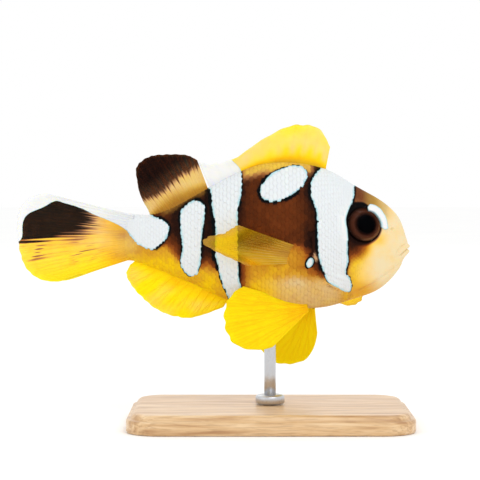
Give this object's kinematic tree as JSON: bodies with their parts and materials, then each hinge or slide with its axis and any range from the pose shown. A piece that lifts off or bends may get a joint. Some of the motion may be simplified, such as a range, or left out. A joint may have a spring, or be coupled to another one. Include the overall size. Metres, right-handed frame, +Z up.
{
  "type": "clownfish display model",
  "caption": "Life-size still model of a young Clark's type clownfish, swimming, with brown, white and yellow bands, on a flat base with a rod.",
  "frame": {"origin": "middle of the underside of the stand's base, under the rod", "axes": "+Z up, +X from tail to snout, +Y to the fish's left side"},
  "size_m": [0.0812, 0.04, 0.0614],
  "materials": {
    "skin": "smooth scaly fish skin, satin wet sheen: brown flanks with white bands, yellow belly, snout and tail",
    "fin_yellow": "thin yellow fin skin over branched rays, slightly see-through, satin",
    "fin_dark": "thin dark brown fin skin over fine rays with a yellow band at its root, satin",
    "eye": "clear glossy eye with a dark brown iris and a black pupil",
    "stand_wood": "pale maple, satin varnish",
    "stand_steel": "fine brushed steel"
  },
  "bodies": {
    "root": {"head": "skin", "lower_jaw": "skin", "gill_cover_right": "skin", "gill_cover_left": "skin", "trunk": "skin", "tail_stem": "skin", "dorsal_fin_spiny": "fin_yellow", "caudal_fin": "fin_yellow", "anal_fin": "fin_yellow", "pectoral_fin_right": "fin_yellow", "pectoral_fin_left": "fin_yellow", "pelvic_fin_right": "fin_yellow", "pelvic_fin_left": "fin_yellow", "dorsal_fin_soft": "fin_dark", "eye_right": "eye", "eye_left": "eye", "stand_base": "stand_wood", "stand_rod": "stand_steel", "stand_collar": "stand_steel"}
  },
  "joints": []
}
